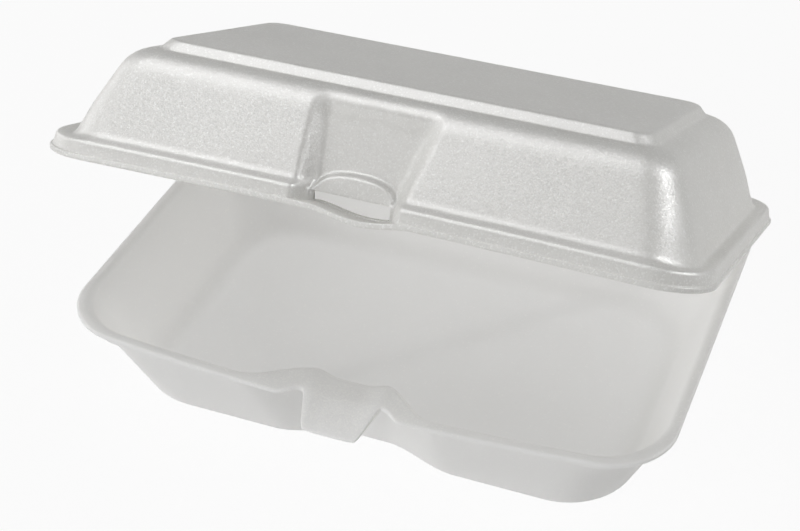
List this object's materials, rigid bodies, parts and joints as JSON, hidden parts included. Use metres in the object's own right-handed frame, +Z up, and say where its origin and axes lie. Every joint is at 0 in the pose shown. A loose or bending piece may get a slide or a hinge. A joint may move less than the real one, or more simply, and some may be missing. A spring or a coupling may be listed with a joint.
{
  "type": "foam clamshell container",
  "caption": "Hinged foam takeaway box: a deep tray and a domed lid folded from one sheet along the back, closed by a tongue in the front rim and a hooded slot.",
  "frame": {"origin": "middle of the tray's flat foot, on the surface it stands on", "axes": "+Z up, +X to the right along the crease, +Y back towards the crease"},
  "size_m": [0.24, 0.1689, 0.1373],
  "materials": {
    "foam": "satin foam skin"
  },
  "bodies": {
    "tray": {"tray": "foam"},
    "lid": {"lid": "foam"}
  },
  "joints": [
    {"name": "lid_hinge", "type": "hinge", "parent": "tray", "child": "lid", "pos_m": [0, 0.079, 0.04515], "axis": [-1, 0, 0], "range_deg": [-24.3, 155.7]}
  ]
}
